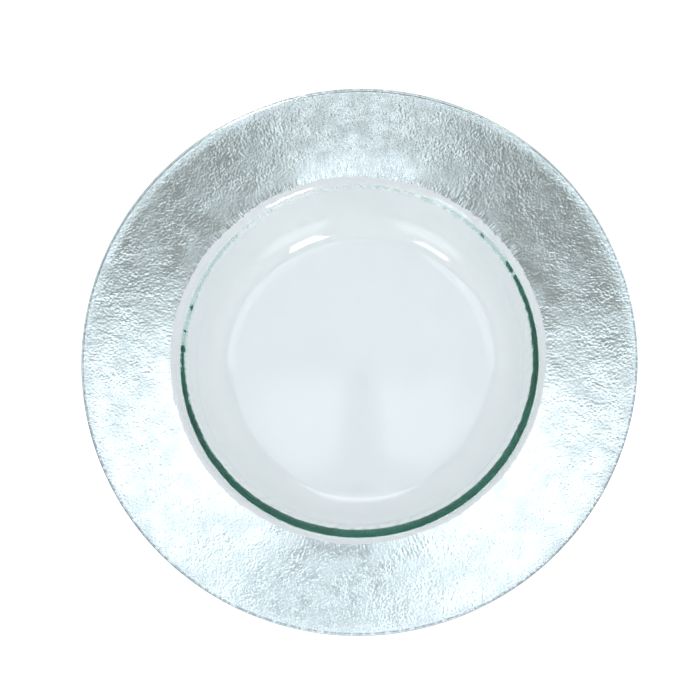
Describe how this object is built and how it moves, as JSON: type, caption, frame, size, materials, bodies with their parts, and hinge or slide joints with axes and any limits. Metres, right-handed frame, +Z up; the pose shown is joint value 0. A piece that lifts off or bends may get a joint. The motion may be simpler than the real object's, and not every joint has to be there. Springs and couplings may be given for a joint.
{
  "type": "charger plate",
  "caption": "Round slumped-glass charger plate with a deep clear well and a wide flat rim, gilded from below with lapped sheets of silver leaf under a lacquer coat.",
  "frame": {"origin": "centre of the flat underside that the plate stands on", "axes": "+Z up along the plate's axis, +Y away from the viewer of the picture, +X to the right"},
  "size_m": [0.33, 0.33, 0.038],
  "materials": {
    "glass": "clear slumped glass with a green tint in depth, fire polished",
    "silver_leaf": "bright silver leaf, finely wrinkled over the stippled glass",
    "lacquer": "brushed silver-grey sealing lacquer"
  },
  "bodies": {
    "root": {"glass_plate": "glass", "leaf_1": "silver_leaf", "leaf_2": "silver_leaf", "leaf_3": "silver_leaf", "leaf_4": "silver_leaf", "leaf_5": "silver_leaf", "leaf_6": "silver_leaf", "leaf_7": "silver_leaf", "leaf_8": "silver_leaf", "lacquer_coat": "lacquer"}
  },
  "joints": []
}
